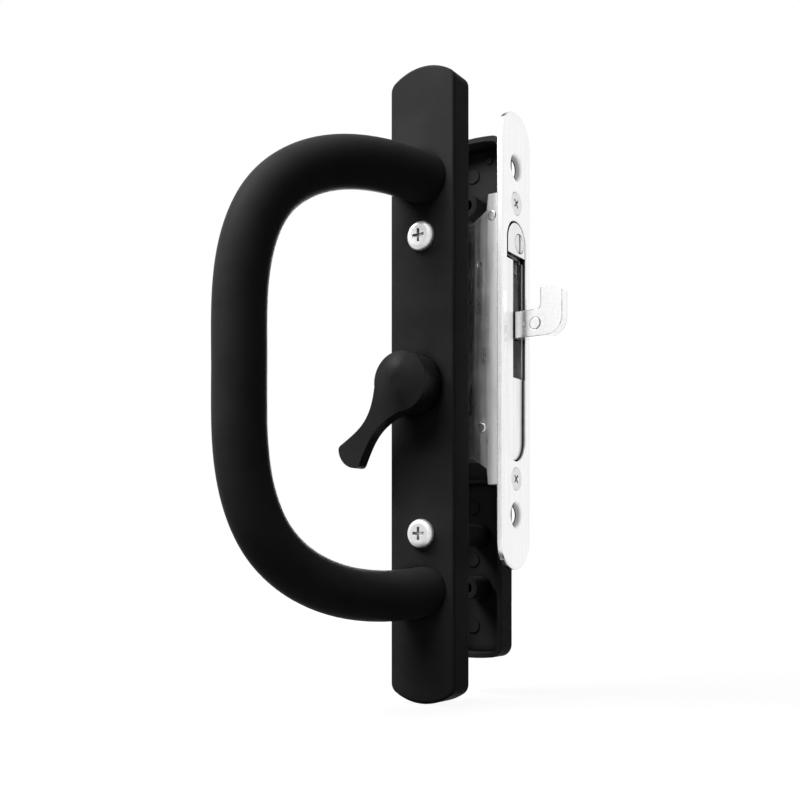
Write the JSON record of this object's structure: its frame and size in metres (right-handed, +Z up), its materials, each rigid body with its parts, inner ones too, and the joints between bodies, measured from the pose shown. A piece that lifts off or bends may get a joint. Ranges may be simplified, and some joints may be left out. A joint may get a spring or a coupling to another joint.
{
  "type": "mortise hook lock with pull handle set",
  "caption": "Sliding door mortise hook lock with a round-ended faceplate, an upward hook, a thumb-turn and a D pull on a long plate, and an open-backed outer plate.",
  "frame": {"origin": "middle of the faceplate's two mounting holes, on its back face, which seats on the door's edge", "axes": "+X out of the faceplate towards the strike, -Y to the room side, +Z up"},
  "size_m": [0.0779, 0.1125, 0.215],
  "materials": {
    "plate_black": "satin",
    "pull_black": "satin",
    "turn_black": "satin",
    "zinc_steel": "bright zinc",
    "bright_face": "bright satin",
    "hook_steel": "bright zinc",
    "bright_screw": "polished",
    "pin_steel": "turned",
    "washer_nylon": "matte"
  },
  "bodies": {
    "housing": {"interior_plate": "plate_black", "pull_handle": "pull_black", "pull_screw_upper": "bright_screw", "pull_screw_lower": "bright_screw", "plate_screw_upper": "bright_screw", "plate_screw_lower": "bright_screw", "exterior_plate": "plate_black", "faceplate": "bright_face", "faceplate_screw_upper": "bright_screw", "faceplate_screw_lower": "bright_screw", "case_base": "zinc_steel", "case_cover": "zinc_steel", "case_rivet_1": "pin_steel", "case_rivet_2": "pin_steel", "case_rivet_3": "pin_steel", "case_rivet_4": "pin_steel", "adjuster_block": "bright_face"},
    "turn": {"thumb_turn": "turn_black", "turn_washer": "washer_nylon", "turn_clip": "pin_steel", "tailpiece": "zinc_steel", "lock_hub": "zinc_steel"},
    "adjuster": {"adjusting_screw": "bright_screw", "adjuster_clip": "pin_steel"},
    "carriage": {"hook_carriage": "zinc_steel", "hook_pivot_pin": "pin_steel", "guide_stud_lower": "pin_steel", "guide_stud_upper": "pin_steel"},
    "lift": {"drive_slide": "zinc_steel", "drive_pin": "pin_steel"},
    "hook": {"hook_bolt": "hook_steel", "hook_rivet": "hook_steel"}
  },
  "joints": [
    {"name": "thumb_turn_hinge", "type": "hinge", "parent": "housing", "child": "turn", "pos_m": [-0.02409, -0.0127, -0.016], "axis": [0, 1, 0], "range_deg": [0, 90]},
    {"name": "adjusting_screw_turn", "type": "hinge", "parent": "housing", "child": "adjuster", "pos_m": [-0.005, 0.0027, 0.034], "axis": [1, 0, 0], "range_deg": [-411.43, 411.43]},
    {"name": "carriage_slide", "type": "slide", "parent": "housing", "child": "carriage", "axis": [1, 0, 0], "range_m": [-0.0008, 0.0008]},
    {"name": "drive_lift", "type": "slide", "parent": "carriage", "child": "lift", "axis": [0, 0, 1], "range_m": [0, 0.01117]},
    {"name": "hook_swing", "type": "hinge", "parent": "carriage", "child": "hook", "pos_m": [-0.0049, 0.0027, 0.0208], "axis": [0, 1, 0], "range_deg": [0, 80]}
  ],
  "couplings": [
    {"joint": "thumb_turn_hinge", "follows": "drive_lift", "rad_per_m": 140.6},
    {"joint": "hook_swing", "follows": "drive_lift", "rad_per_m": 124.98},
    {"joint": "adjusting_screw_turn", "follows": "carriage_slide", "rad_per_m": -8976}
  ]
}
